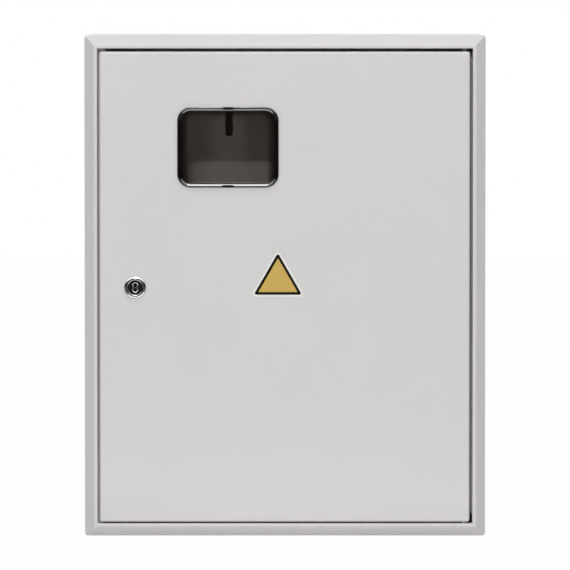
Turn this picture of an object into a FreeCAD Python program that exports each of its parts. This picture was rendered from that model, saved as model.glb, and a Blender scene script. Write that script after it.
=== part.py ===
import FreeCAD
import Part
import math
import os

from FreeCAD import Vector

# Surface-mounted electric meter box in folded sheet steel, with an inset door, a smoked meter
# window, a cam lock, a meter plate, a rail for breakers behind a cover, and two terminal bars.
#
# Millimetres. X points right, Y points into the wall and Z points up. The origin lies on the wall
# plane, midway between the four wall holes. A depth is a distance out from the wall plane, so a
# point at depth d lies at y = -d.

# Cabinet
BOX_WIDTH = 400.0
BOX_HEIGHT = 500.0
BOX_DEPTH = 165.0
SHEET = 1.0
CORNER_RADIUS = 3.0
BEVEL_WIDTH = 9.5
BEVEL_DEPTH = 10.0
FLAT_WIDTH = 3.5
FOLD_RADIUS = 1.5
STOP_LIP = 8.0
HINGE_LIP = 4.2
HINGE_LIP_RELIEF = 9.0
HINGE_LIP_CLEARANCE = 7.0
WALL_HOLE_DIAMETER = 8.0
WALL_HOLE_INSET = 35.0
KNOCKOUT_DIAMETER = 28.0
KNOCKOUT_COUNT = 4
KNOCKOUT_PITCH = 75.0
KNOCKOUT_DEPTH = 75.0
KNOCKOUT_STEP = 0.5

# Door
DOOR_SHEET = 1.2
DOOR_DEPTH = 14.0
GAP_TOP = 3.1
GAP_BOTTOM = 1.6
GAP_LOCK_SIDE = 2.2
GAP_HINGE_SIDE = 2.8
DOOR_CORNER = 2.5
DOOR_EDGE_RADIUS = 2.0
DOOR_STOP_CLEARANCE = 0.5

# Hinge
HINGE_INSET = 5.7
HINGE_SETBACK = 4.5
PIN_DIAMETER = 4.0
PIN_COLLAR_DIAMETER = 5.4
PIN_HEAD_DIAMETER = 7.0
PIN_HEAD = 1.5
PIN_ENGAGEMENT = 7.0
PIN_END_CLEARANCE = 0.1
RUNNING_CLEARANCE = 0.05

# Window
WINDOW_WIDTH = 101.0
WINDOW_HEIGHT = 80.0
WINDOW_RADIUS = 13.5
WINDOW_X = -56.8
WINDOW_Z = 138.6
RIM_WIDTH = 4.2
RIM_HEIGHT = 2.0
RIM_LAND = 1.5
RIM_KNEE_INSET = 3.3
RIM_KNEE_DROP = 1.15
RIM_OVERLAP = 1.5
RIM_ROUNDING = 0.5
PANE = 2.0
PANE_RECESS = 1.4
SKIRT_WALL = 1.6
SKIRT_TAIL = 3.5
CUTOUT_CLEARANCE = 0.3
SIDE_CLIP_LENGTH = 25.0
END_CLIP_LENGTH = 11.0
CLIP_BARB = 1.0
CLIP_SLIT = 1.2
CLIP_NOTCH = 0.6
CLIP_SEAT_CLEARANCE = 0.2

# Lock
LOCK_INSET = 35.5
LOCK_Z = -1.1
LOCK_FLANGE_DIAMETER = 22.5
LOCK_FLANGE = 2.8
LOCK_FLANGE_ROUNDING = 2.5
LOCK_MOUTH_ROUNDING = 0.8
LOCK_BARREL_DIAMETER = 18.0
LOCK_ACROSS_FLATS = 15.6
LOCK_HOLE_CLEARANCE = 0.2
ROTOR_DIAMETER = 14.6
ROTOR_RECESS = 0.9
ROTOR_HEAD = 3.0
PLUG_DIAMETER = 11.0
GUIDE_WIDTH = 6.6
GUIDE_HEIGHT = 11.0
GUIDE_DEPTH = 2.4
GUIDE_PROUD = 0.5
GUIDE_BEVEL = 0.9
KEYWAY_WIDTH = 2.6
KEYWAY_HEIGHT = 8.4
KEYWAY_DEPTH = 2.2
KEY_POST_DIAMETER = 1.8
KEY_POST_RECESS = 0.3
TAIL_SQUARE = 6.5
CAM_SHEET = 2.0
CAM_WIDTH = 16.0
CAM_OVERLAP = 6.0
CAM_CLEARANCE = 0.5
LOCK_NUT_ACROSS = 24.0
LOCK_NUT = 4.0
CAM_SCREW_ACROSS = 8.0
CAM_SCREW_HEAD = 3.5
CAM_SCREW_DIAMETER = 4.0
CAM_SCREW_LENGTH = 8.0
CAM_WASHER_DIAMETER = 11.0
CAM_WASHER = 1.0

# Meter plate
PLATE_SHEET = 1.5
PLATE_WIDTH = 190.0
PLATE_FOOT = 18.0
PLATE_TOP = 208.0
PLATE_BOTTOM = -56.0
TONGUE_DEPTH = 45.0
PLATE_DEPTH = 65.0
STEP_TOP = 120.2
STEP_HEIGHT = 20.0
METER_SLOT_WIDTH = 7.6
METER_SLOT_LENGTH = 46.0
METER_SLOT_FOOT = 146.5
LOWER_SLOT_LENGTH = 36.0
LOWER_SLOT_SPREAD = 62.0
LOWER_SLOT_Z = -22.0
PLATE_STUD_INSET = 24.0

# Breaker rail, its brackets and its cover
BRACKET_SHEET = 1.5
BRACKET_INSET = 45.0
BRACKET_FLANGE = 15.0
BRACKET_FOOT = 18.0
BRACKET_HEIGHT = 118.0
BRACKET_STUD_INSET = 22.0
SHEET_BEND = 1.0
RAIL_Z = -156.0
RAIL_HEIGHT = 35.0
RAIL_CROWN = 27.0
RAIL_DEPTH = 7.5
RAIL_SHEET = 1.0
RAIL_FRONT = 60.0
RAIL_END_CLEARANCE = 3.0
RAIL_LUG_LENGTH = 22.0
RAIL_LUG_HEIGHT = 24.0
RAIL_SLOT_WIDTH = 6.2
RAIL_SLOT_LENGTH = 15.0
RAIL_SLOT_PITCH = 25.0
RAIL_SLOT_COUNT = 9
COVER_SHEET = 1.0
COVER_HEIGHT = 140.0
COVER_SEAT = 112.0
COVER_FLANGE = 12.0
COVER_CORNER = 2.0
COVER_EDGE_CLEARANCE = 2.0
MODULE_SLOT_WIDTH = 217.0
MODULE_SLOT_HEIGHT = 46.0
MODULE_SLOT_RADIUS = 2.0
COVER_SCREW_INSET_Z = 20.0

# Terminal bars
BAR_LENGTH = 110.0
BAR_HEIGHT = 9.0
BAR_THICKNESS = 6.5
BAR_TERMINALS = 7
BAR_PITCH = 11.0
BAR_WIRE_HOLE = 4.6
NEUTRAL_BAR_Z = 150.0
EARTH_BAR_Z = 60.0
SUPPORT_HEIGHT = 24.0
SUPPORT_WIDTH = 15.0
SUPPORT_TOP_WIDTH = 11.0
SUPPORT_FOOT = 4.0
SUPPORT_FOOT_LENGTH = 17.0
SUPPORT_END_INSET = 8.0

# Fasteners
STUD_DIAMETER = 5.0
STUD_LENGTH = 12.0
STUD_HOLE_CLEARANCE = 0.25
THREAD_CLEARANCE = 0.05
NUT_ACROSS = 8.0
NUT_HEIGHT = 4.0
SCREW_DIAMETER = 4.0
SCREW_HEAD_DIAMETER = 7.5
SCREW_HEAD = 2.6
SCREW_GRIP = 8.0
COVER_SCREW_HEAD_DIAMETER = 11.0
COVER_SCREW_HEAD = 5.0
EARTH_STUD_DIAMETER = 6.0
EARTH_STUD_LENGTH = 16.0
EARTH_NUT_ACROSS = 10.0
EARTH_NUT_HEIGHT = 5.0
EARTH_STUD_Z = -14.0
DOOR_EARTH_INSET = 44.0
DOOR_EARTH_Z = -190.0
DOOR_STUD_LENGTH = 12.0

CUT_OVERRUN = 1.0

# Places worked out from the sizes above
OPENING_WIDTH = BOX_WIDTH - 2 * (BEVEL_WIDTH + FLAT_WIDTH)
OPENING_HEIGHT = BOX_HEIGHT - 2 * (BEVEL_WIDTH + FLAT_WIDTH)
DOOR_LEFT = GAP_LOCK_SIDE - OPENING_WIDTH / 2
DOOR_RIGHT = OPENING_WIDTH / 2 - GAP_HINGE_SIDE
DOOR_BOTTOM = GAP_BOTTOM - OPENING_HEIGHT / 2
DOOR_TOP = OPENING_HEIGHT / 2 - GAP_TOP
DOOR_WIDTH = DOOR_RIGHT - DOOR_LEFT
DOOR_HEIGHT = DOOR_TOP - DOOR_BOTTOM
DOOR_X = (DOOR_LEFT + DOOR_RIGHT) / 2
DOOR_Z = (DOOR_BOTTOM + DOOR_TOP) / 2
DOOR_BACK = BOX_DEPTH - DOOR_DEPTH
LIP_FRONT = DOOR_BACK - DOOR_STOP_CLEARANCE
LIP_BACK = LIP_FRONT - SHEET
HINGE_LIP_BACK = DOOR_BACK - HINGE_LIP_CLEARANCE - SHEET
HINGE_X = DOOR_RIGHT - HINGE_INSET
HINGE_DEPTH = BOX_DEPTH - HINGE_SETBACK
CUTOUT_WIDTH = WINDOW_WIDTH - 2 * RIM_OVERLAP
CUTOUT_HEIGHT = WINDOW_HEIGHT - 2 * RIM_OVERLAP
CUTOUT_RADIUS = WINDOW_RADIUS - RIM_OVERLAP
PANE_FRONT = BOX_DEPTH - PANE_RECESS
DOOR_INNER = BOX_DEPTH - DOOR_SHEET
DOOR_EARTH_X = DOOR_RIGHT - DOOR_EARTH_INSET
LOCK_X = DOOR_LEFT + LOCK_INSET
CAM_FRONT = LIP_BACK - CAM_CLEARANCE
CAM_BACK = CAM_FRONT - CAM_SHEET
CAM_LENGTH = LOCK_X + OPENING_WIDTH / 2 - STOP_LIP + CAM_OVERLAP
BRACKET_X = BOX_WIDTH / 2 - BRACKET_INSET
COVER_WIDTH = 2 * (BRACKET_X + BRACKET_FLANGE + COVER_EDGE_CLEARANCE + COVER_SHEET)
RAIL_BACK = RAIL_FRONT - RAIL_DEPTH
RAIL_LENGTH = 2 * (BRACKET_X - RAIL_END_CLEARANCE)
BAR_X = (WINDOW_X + PLATE_WIDTH / 2 + BOX_WIDTH / 2 - SHEET) / 2
BAR_BACK = SHEET + SUPPORT_HEIGHT
BAR_FRONT = BAR_BACK + BAR_THICKNESS
SUPPORT_SPREAD = BAR_LENGTH / 2 - SUPPORT_END_INSET


# Basic forms
def at(x, depth, z):
    return Vector(x, -depth, z)


def block(x0, x1, d0, d1, z0, z1):
    return Part.makeBox(x1 - x0, d1 - d0, z1 - z0, at(x0, d1, z0))


def rod_along_depth(x, z, radius, d0, d1):
    return Part.makeCylinder(radius, d1 - d0, at(x, d0, z), Vector(0, -1, 0))


def rod_along_height(x, depth, radius, z0, z1):
    return Part.makeCylinder(radius, z1 - z0, at(x, depth, z0))


def outline(width, height, radius, depth, x, z):
    """A rectangle with rounded corners, parallel to the wall."""
    across, up = width / 2 - radius, height / 2 - radius
    turn = radius * math.sqrt(0.5)
    edges = []
    for way_x, way_z in ((1, 1), (-1, 1), (-1, -1), (1, -1)):
        corner_x, corner_z = x + way_x * across, z + way_z * up
        side = at(corner_x + way_x * radius, depth, corner_z)
        middle = at(corner_x + way_x * turn, depth, corner_z + way_z * turn)
        end = at(corner_x, depth, corner_z + way_z * radius)
        edges.append(Part.Arc(side, middle, end).toShape())
        edges.append(Part.LineSegment(end, at(x - way_x * across, depth, end.z)).toShape()
                     if way_x == way_z else
                     Part.LineSegment(side, at(side.x, depth, z - way_z * up)).toShape())
    return Part.Wire(Part.__sortEdges__(edges))


def plate(width, height, radius, d0, d1, x=0.0, z=0.0):
    """A plate parallel to the wall, between two depths, with its four corners rounded."""
    return Part.Face(outline(width, height, radius, d0, x, z)).extrude(at(0, d1 - d0, 0))


def oblong(x, z, width, length, d0, d1, upright):
    """A slot with round ends, cut or filled between two depths."""
    reach = (length - width) / 2
    across, up = (width / 2, reach) if upright else (reach, width / 2)
    slot = block(x - across, x + across, d0, d1, z - up, z + up)
    for side in (-1, 1):
        end_x, end_z = (x, z + side * reach) if upright else (x + side * reach, z)
        slot = slot.fuse(rod_along_depth(end_x, end_z, width / 2, d0, d1))
    return slot.removeSplitter()


def hexagon(x, z, across_flats, d0, d1):
    radius = across_flats / math.sqrt(3)
    turns = [math.radians(60 * side) for side in range(7)]
    ring = [at(x + radius * math.cos(a), d0, z + radius * math.sin(a)) for a in turns]
    return Part.Face(Part.makePolygon(ring)).extrude(at(0, d1 - d0, 0))


def edges_on_depth(shape, depth):
    """The edges of a shape that lie wholly at one depth."""
    bounds = [(e, e.BoundBox) for e in shape.Edges]
    return [e for e, b in bounds if abs(b.YMin + depth) < 1e-4 and abs(b.YMax + depth) < 1e-4]


def rounded_path(points, radii):
    """The edges of an open line of points with its inner corners rounded."""
    edges = []
    start = points[0]
    for before, corner, after, radius in zip(points, points[1:], points[2:], radii):
        back = (before - corner).normalize()
        ahead = (after - corner).normalize()
        half = back.getAngle(ahead) / 2
        inward = (back + ahead).normalize()
        first = corner + back * (radius / math.tan(half))
        last = corner + ahead * (radius / math.tan(half))
        middle = corner + inward * (radius / math.sin(half) - radius)
        edges.append(Part.LineSegment(start, first).toShape())
        edges.append(Part.Arc(first, middle, last).toShape())
        start = last
    edges.append(Part.LineSegment(start, points[-1]).toShape())
    return edges


def bent_sheet(face_points, thickness, bend, run):
    """Sheet folded along a line of points and extruded by run.

    The points trace one face of the sheet. The thickness lies to the left of the line, seen
    against run, and bend is the radius inside each fold."""
    axis = Vector(run).normalize()
    ways = [(b - a).normalize() for a, b in zip(face_points, face_points[1:])]
    lefts = [axis.cross(way) for way in ways]
    far_points = [face_points[0] + lefts[0] * thickness]
    near_radii, far_radii = [], []
    for corner, left, next_left, next_way in zip(face_points[1:], lefts, lefts[1:], ways[1:]):
        far_points.append(corner + (left + next_left) * (thickness / (1 + left.dot(next_left))))
        turns_left = left.dot(next_way) > 0
        near_radii.append(bend + thickness if turns_left else bend)
        far_radii.append(bend if turns_left else bend + thickness)
    far_points.append(face_points[-1] + lefts[-1] * thickness)
    near = rounded_path(face_points, near_radii)
    far = rounded_path(far_points, far_radii)
    ends = [Part.LineSegment(face_points[0], far_points[0]).toShape(),
            Part.LineSegment(face_points[-1], far_points[-1]).toShape()]
    outline = Part.Wire(Part.__sortEdges__(near + far + ends))
    return Part.Face(outline).extrude(run)


# Cabinet
def cabinet_envelope(inset):
    """The cabinet's outer form with its bevelled front, or its inside when inset by the sheet."""
    slant = math.hypot(BEVEL_WIDTH, BEVEL_DEPTH)
    front = BOX_DEPTH - inset
    shoulder = BOX_DEPTH - BEVEL_DEPTH + inset * (BEVEL_DEPTH - slant) / BEVEL_WIDTH
    slope = BEVEL_WIDTH / BEVEL_DEPTH
    width = BOX_WIDTH - 2 * inset
    height = BOX_HEIGHT - 2 * inset
    walls = plate(width, height, CORNER_RADIUS - inset, inset, front)

    def rectangle(depth):
        narrowing = (depth - shoulder) * slope
        across, up = width / 2 - narrowing, height / 2 - narrowing
        corners = [(-across, -up), (across, -up), (across, up), (-across, up), (-across, -up)]
        return Part.makePolygon([at(x, depth, z) for x, z in corners])

    ends = [rectangle(inset - CUT_OVERRUN), rectangle(front + CUT_OVERRUN)]
    envelope = walls.common(Part.makeLoft(ends, True, True))
    return envelope.makeFillet(FOLD_RADIUS - inset, edges_on_depth(envelope, front))


def door_stop():
    """The lip down the lock side, which the door closes on and the cam turns behind."""
    return block(-OPENING_WIDTH / 2, STOP_LIP - OPENING_WIDTH / 2, LIP_BACK, LIP_FRONT,
                 -OPENING_HEIGHT / 2, OPENING_HEIGHT / 2)


def hinge_lip():
    """A narrow lip down the hinge side, deep enough for the door's edge to turn in front of it."""
    edge = OPENING_WIDTH / 2
    end = OPENING_HEIGHT / 2 - HINGE_LIP_RELIEF
    wall = block(edge, edge + SHEET, HINGE_LIP_BACK, LIP_FRONT, -end, end)
    return wall.fuse(block(edge - HINGE_LIP, edge + SHEET, HINGE_LIP_BACK, HINGE_LIP_BACK + SHEET,
                           -end, end))


def knockout_places():
    first = -KNOCKOUT_PITCH * (KNOCKOUT_COUNT - 1) / 2
    return [first + KNOCKOUT_PITCH * number for number in range(KNOCKOUT_COUNT)]


def body_shell():
    shell = cabinet_envelope(0).cut(cabinet_envelope(SHEET))
    opening = block(-OPENING_WIDTH / 2, OPENING_WIDTH / 2, LIP_BACK - CUT_OVERRUN,
                    BOX_DEPTH + CUT_OVERRUN, -OPENING_HEIGHT / 2, OPENING_HEIGHT / 2)
    flange = block(-OPENING_WIDTH / 2 - SHEET, OPENING_WIDTH / 2 + SHEET, LIP_BACK, BOX_DEPTH,
                   -OPENING_HEIGHT / 2 - SHEET, OPENING_HEIGHT / 2 + SHEET)
    shell = shell.fuse(flange).cut(opening).fuse(door_stop()).fuse(hinge_lip()).removeSplitter()
    rim = [e for e in edges_on_depth(shell, BOX_DEPTH)
           if e.BoundBox.XMax < OPENING_WIDTH / 2 + SHEET / 2
           and e.BoundBox.XMin > -OPENING_WIDTH / 2 - SHEET / 2
           and e.BoundBox.ZMax < OPENING_HEIGHT / 2 + SHEET / 2
           and e.BoundBox.ZMin > -OPENING_HEIGHT / 2 - SHEET / 2]
    shell = shell.makeFillet(FOLD_RADIUS, rim)
    for side_x in (-1, 1):
        for side_z in (-1, 1):
            hole_x = side_x * (BOX_WIDTH / 2 - WALL_HOLE_INSET)
            hole_z = side_z * (BOX_HEIGHT / 2 - WALL_HOLE_INSET)
            shell = shell.cut(rod_along_depth(hole_x, hole_z, WALL_HOLE_DIAMETER / 2,
                                              -CUT_OVERRUN, SHEET + CUT_OVERRUN))
    pin_hole = PIN_DIAMETER / 2 + RUNNING_CLEARANCE
    shell = shell.cut(rod_along_height(HINGE_X, HINGE_DEPTH, pin_hole,
                                       -OPENING_HEIGHT / 2 - SHEET - CUT_OVERRUN,
                                       OPENING_HEIGHT / 2 + SHEET + CUT_OVERRUN))
    return knocked_out(shell)


def knocked_out(shell):
    """Half-sheared entry discs in the top and bottom walls, pushed in by a step."""
    radius = KNOCKOUT_DIAMETER / 2
    outside = BOX_HEIGHT / 2
    inside = outside - SHEET
    for x in knockout_places():
        for side in (-1, 1):
            dent = sorted((side * (outside - KNOCKOUT_STEP), side * (outside + CUT_OVERRUN)))
            shell = shell.cut(rod_along_height(x, KNOCKOUT_DEPTH, radius, *dent))
            disc = sorted((side * (inside - KNOCKOUT_STEP), side * inside))
            shell = shell.fuse(rod_along_height(x, KNOCKOUT_DEPTH, radius, *disc))
    return shell.removeSplitter()


# Door
def door_panel():
    outer = plate(DOOR_WIDTH, DOOR_HEIGHT, DOOR_CORNER, DOOR_BACK, BOX_DEPTH, DOOR_X, DOOR_Z)
    outer = outer.makeFillet(DOOR_EDGE_RADIUS, edges_on_depth(outer, BOX_DEPTH))
    inner = plate(DOOR_WIDTH - 2 * DOOR_SHEET, DOOR_HEIGHT - 2 * DOOR_SHEET,
                  DOOR_CORNER - DOOR_SHEET, DOOR_BACK - CUT_OVERRUN, DOOR_INNER, DOOR_X, DOOR_Z)
    inner = inner.makeFillet(DOOR_EDGE_RADIUS - DOOR_SHEET, edges_on_depth(inner, DOOR_INNER))
    panel = outer.cut(inner)
    panel = panel.cut(plate(CUTOUT_WIDTH, CUTOUT_HEIGHT, CUTOUT_RADIUS, DOOR_INNER - CUT_OVERRUN,
                            BOX_DEPTH + CUT_OVERRUN, WINDOW_X, WINDOW_Z))
    panel = panel.cut(flatted_barrel(LOCK_HOLE_CLEARANCE, DOOR_INNER - CUT_OVERRUN,
                                     BOX_DEPTH + CUT_OVERRUN))
    return panel.cut(rod_along_height(HINGE_X, HINGE_DEPTH, PIN_DIAMETER / 2 + RUNNING_CLEARANCE,
                                      DOOR_BOTTOM - CUT_OVERRUN, DOOR_TOP + CUT_OVERRUN))


# Hinge
def hinge_pin(way, door_edge):
    """A pin riveted in the frame at the head (way 1) or foot (way -1) of the door.

    Its collar stands in the gap and its journal runs in the hole in the door's flange."""
    frame_edge = way * OPENING_HEIGHT / 2
    rivet_seat = frame_edge + way * SHEET
    collar_end = frame_edge - way * (min(GAP_TOP, GAP_BOTTOM) - PIN_END_CLEARANCE)

    def disc(diameter, first, last):
        return rod_along_height(HINGE_X, HINGE_DEPTH, diameter / 2, *sorted((first, last)))

    pin = disc(PIN_DIAMETER, rivet_seat, door_edge - way * PIN_ENGAGEMENT)
    pin = pin.fuse(disc(PIN_COLLAR_DIAMETER, frame_edge, collar_end))
    return pin.fuse(disc(PIN_HEAD_DIAMETER, rivet_seat, rivet_seat + way * PIN_HEAD)).removeSplitter()


# Window
def window_clip(way_x, way_z, length):
    """A barb behind the door's sheet on one side of the window's skirt."""
    barb_front = DOOR_INNER - CLIP_SEAT_CLEARANCE
    barb_back = DOOR_INNER - SKIRT_TAIL
    skirt = CUTOUT_WIDTH / 2 if way_x else CUTOUT_HEIGHT / 2
    root = skirt - CUTOUT_CLEARANCE - SKIRT_WALL / 2
    tip = skirt + CLIP_BARB
    outline = [(root, barb_back), (tip - CLIP_BARB, barb_back), (tip, barb_front),
               (root, barb_front), (root, barb_back)]
    if way_x:
        ring = [at(WINDOW_X + way_x * out, d, WINDOW_Z - length / 2) for out, d in outline]
        return Part.Face(Part.makePolygon(ring)).extrude(at(0, 0, length))
    ring = [at(WINDOW_X - length / 2, d, WINDOW_Z + way_z * out) for out, d in outline]
    return Part.Face(Part.makePolygon(ring)).extrude(at(length, 0, 0))


def window_mouth(rim_front):
    """The hollow that slopes from the rim's narrow land to a knee, and steeper from there to the pane."""
    slope = (RIM_KNEE_INSET - RIM_LAND) / RIM_KNEE_DROP
    steps = ((PANE_FRONT, RIM_WIDTH), (rim_front - RIM_KNEE_DROP, RIM_KNEE_INSET),
             (rim_front + CLIP_NOTCH, RIM_LAND - CLIP_NOTCH * slope))
    rings = [outline(WINDOW_WIDTH - 2 * inset, WINDOW_HEIGHT - 2 * inset, WINDOW_RADIUS - inset, depth,
                     WINDOW_X, WINDOW_Z) for depth, inset in steps]
    return Part.makeLoft(rings, True, True)


def window_pane():
    rim_front = BOX_DEPTH + RIM_HEIGHT
    skirt_back = DOOR_INNER - SKIRT_TAIL
    skirt_width = CUTOUT_WIDTH - 2 * CUTOUT_CLEARANCE
    skirt_height = CUTOUT_HEIGHT - 2 * CUTOUT_CLEARANCE
    skirt_radius = CUTOUT_RADIUS - CUTOUT_CLEARANCE
    rim = plate(WINDOW_WIDTH, WINDOW_HEIGHT, WINDOW_RADIUS, BOX_DEPTH, rim_front,
                WINDOW_X, WINDOW_Z)
    rim = rim.makeFillet(RIM_ROUNDING, edges_on_depth(rim, rim_front))
    for way_z in (-1, 1):
        notch_middle = WINDOW_Z + way_z * (WINDOW_HEIGHT / 2 - RIM_WIDTH / 2)
        rim = rim.cut(block(WINDOW_X - END_CLIP_LENGTH / 2, WINDOW_X + END_CLIP_LENGTH / 2,
                            rim_front - CLIP_NOTCH, rim_front + CUT_OVERRUN,
                            notch_middle - RIM_WIDTH, notch_middle + RIM_WIDTH))
    for way_x in (-1, 1):
        for end in (-1, 1):
            slit_x = WINDOW_X + way_x * (WINDOW_WIDTH / 2 - RIM_WIDTH / 2)
            slit_z = WINDOW_Z + end * SIDE_CLIP_LENGTH / 2
            rim = rim.cut(block(slit_x - RIM_WIDTH, slit_x + RIM_WIDTH,
                                rim_front - CLIP_NOTCH, rim_front + CUT_OVERRUN,
                                slit_z - CLIP_SLIT / 2, slit_z + CLIP_SLIT / 2))
    skirt = plate(skirt_width, skirt_height, skirt_radius, skirt_back, BOX_DEPTH,
                  WINDOW_X, WINDOW_Z)
    skirt = skirt.cut(plate(skirt_width - 2 * SKIRT_WALL, skirt_height - 2 * SKIRT_WALL,
                            skirt_radius - SKIRT_WALL, skirt_back - CUT_OVERRUN,
                            PANE_FRONT - PANE, WINDOW_X, WINDOW_Z))
    window = skirt.fuse(rim).cut(window_mouth(rim_front))
    for way in (-1, 1):
        window = window.fuse(window_clip(way, 0, SIDE_CLIP_LENGTH - CLIP_SLIT))
        window = window.fuse(window_clip(0, way, END_CLIP_LENGTH))
    return window.removeSplitter()


# Lock
def flatted_barrel(clearance, d0, d1):
    """The lock's barrel with its two flats, or the hole that keeps it from turning."""
    radius = LOCK_BARREL_DIAMETER / 2 + clearance
    half = LOCK_ACROSS_FLATS / 2 + clearance
    barrel = rod_along_depth(LOCK_X, LOCK_Z, radius, d0, d1)
    return barrel.common(block(LOCK_X - half, LOCK_X + half, d0, d1,
                               LOCK_Z - radius, LOCK_Z + radius))


def lock_rod(diameter, d0, d1):
    return rod_along_depth(LOCK_X, LOCK_Z, diameter / 2, d0, d1)


def lock_places():
    """Depths of the lock's face, its rotor's face, the rotor's seat and the barrel's end."""
    face = BOX_DEPTH + LOCK_FLANGE
    rotor_face = face - ROTOR_RECESS
    rotor_seat = rotor_face - ROTOR_HEAD
    barrel_end = CAM_FRONT + RUNNING_CLEARANCE
    return face, rotor_face, rotor_seat, barrel_end


def lock_body():
    face, _, rotor_seat, barrel_end = lock_places()
    flange = lock_rod(LOCK_FLANGE_DIAMETER, BOX_DEPTH, face)
    flange = flange.makeFillet(LOCK_FLANGE_ROUNDING, edges_on_depth(flange, face))
    body = flange.fuse(flatted_barrel(0, barrel_end, BOX_DEPTH))
    pocket = lock_rod(ROTOR_DIAMETER + 2 * RUNNING_CLEARANCE, rotor_seat - RUNNING_CLEARANCE,
                      face + CUT_OVERRUN)
    bore = lock_rod(PLUG_DIAMETER + 2 * RUNNING_CLEARANCE, barrel_end - CUT_OVERRUN, rotor_seat)
    body = body.cut(pocket).cut(bore).removeSplitter()
    mouth = [e for e in edges_on_depth(body, face) if e.BoundBox.XLength < ROTOR_DIAMETER + 1]
    return body.makeFillet(LOCK_MOUTH_ROUNDING, mouth)


def square_tail(clearance, d0, d1):
    half = TAIL_SQUARE / 2 + clearance
    return block(LOCK_X - half, LOCK_X + half, d0, d1, LOCK_Z - half, LOCK_Z + half)


def lock_plug():
    _, rotor_face, rotor_seat, _ = lock_places()
    plug = lock_rod(ROTOR_DIAMETER, rotor_seat, rotor_face)
    plug = plug.fuse(lock_rod(PLUG_DIAMETER, CAM_FRONT, rotor_seat))
    plug = plug.fuse(square_tail(0, CAM_BACK, CAM_FRONT))
    guide_seat = oblong(LOCK_X, LOCK_Z, GUIDE_WIDTH + 2 * THREAD_CLEARANCE,
                        GUIDE_HEIGHT + 2 * THREAD_CLEARANCE, rotor_face - GUIDE_DEPTH,
                        rotor_face + CUT_OVERRUN, True)
    screw_hole = lock_rod(CAM_SCREW_DIAMETER + 2 * THREAD_CLEARANCE, CAM_BACK - CUT_OVERRUN,
                          CAM_BACK + CAM_SCREW_LENGTH)
    return plug.cut(guide_seat).cut(screw_hole).removeSplitter()


def key_guide():
    """The bright oval that leads the key in, pressed in the rotor's face, with a post in its keyway."""
    _, rotor_face, _, _ = lock_places()
    front = rotor_face + GUIDE_PROUD
    guide = oblong(LOCK_X, LOCK_Z, GUIDE_WIDTH, GUIDE_HEIGHT, rotor_face - GUIDE_DEPTH, front, True)
    guide = guide.makeChamfer(GUIDE_BEVEL, edges_on_depth(guide, front))
    foot = front - KEYWAY_DEPTH
    guide = guide.cut(oblong(LOCK_X, LOCK_Z, KEYWAY_WIDTH, KEYWAY_HEIGHT, foot, front + CUT_OVERRUN, True))
    return guide.fuse(lock_rod(KEY_POST_DIAMETER, foot, front - KEY_POST_RECESS)).removeSplitter()


def lock_nut():
    nut = hexagon(LOCK_X, LOCK_Z, LOCK_NUT_ACROSS, DOOR_INNER - LOCK_NUT, DOOR_INNER)
    return nut.cut(lock_rod(LOCK_BARREL_DIAMETER + 2 * THREAD_CLEARANCE,
                            DOOR_INNER - LOCK_NUT - CUT_OVERRUN, DOOR_INNER + CUT_OVERRUN))


def lock_cam():
    """A flat cam that hangs down when the lock is open and turns left behind the door stop."""
    half = CAM_WIDTH / 2
    cam = block(LOCK_X - half, LOCK_X + half, CAM_BACK, CAM_FRONT,
                LOCK_Z - CAM_LENGTH + half, LOCK_Z)
    cam = cam.fuse(lock_rod(CAM_WIDTH, CAM_BACK, CAM_FRONT))
    tip = rod_along_depth(LOCK_X, LOCK_Z - CAM_LENGTH + half, half, CAM_BACK, CAM_FRONT)
    cam = cam.fuse(tip).removeSplitter()
    return cam.cut(square_tail(RUNNING_CLEARANCE, CAM_BACK - CUT_OVERRUN,
                               CAM_FRONT + CUT_OVERRUN))


def cam_washer():
    washer = lock_rod(CAM_WASHER_DIAMETER, CAM_BACK - CAM_WASHER, CAM_BACK)
    return washer.cut(lock_rod(CAM_SCREW_DIAMETER + 2 * STUD_HOLE_CLEARANCE,
                               CAM_BACK - CAM_WASHER - CUT_OVERRUN, CAM_BACK + CUT_OVERRUN))


def cam_screw():
    head_seat = CAM_BACK - CAM_WASHER
    head = hexagon(LOCK_X, LOCK_Z, CAM_SCREW_ACROSS, head_seat - CAM_SCREW_HEAD, head_seat)
    shank = lock_rod(CAM_SCREW_DIAMETER, head_seat, head_seat + CAM_SCREW_LENGTH)
    return head.fuse(shank).removeSplitter()


# Meter plate
def plate_stud_places():
    spread = PLATE_WIDTH / 2 - PLATE_STUD_INSET
    heights = (PLATE_TOP + PLATE_SHEET + PLATE_FOOT / 2, PLATE_BOTTOM - PLATE_SHEET - PLATE_FOOT / 2)
    return [(WINDOW_X + side * spread, z) for z in heights for side in (-1, 1)]


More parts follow.
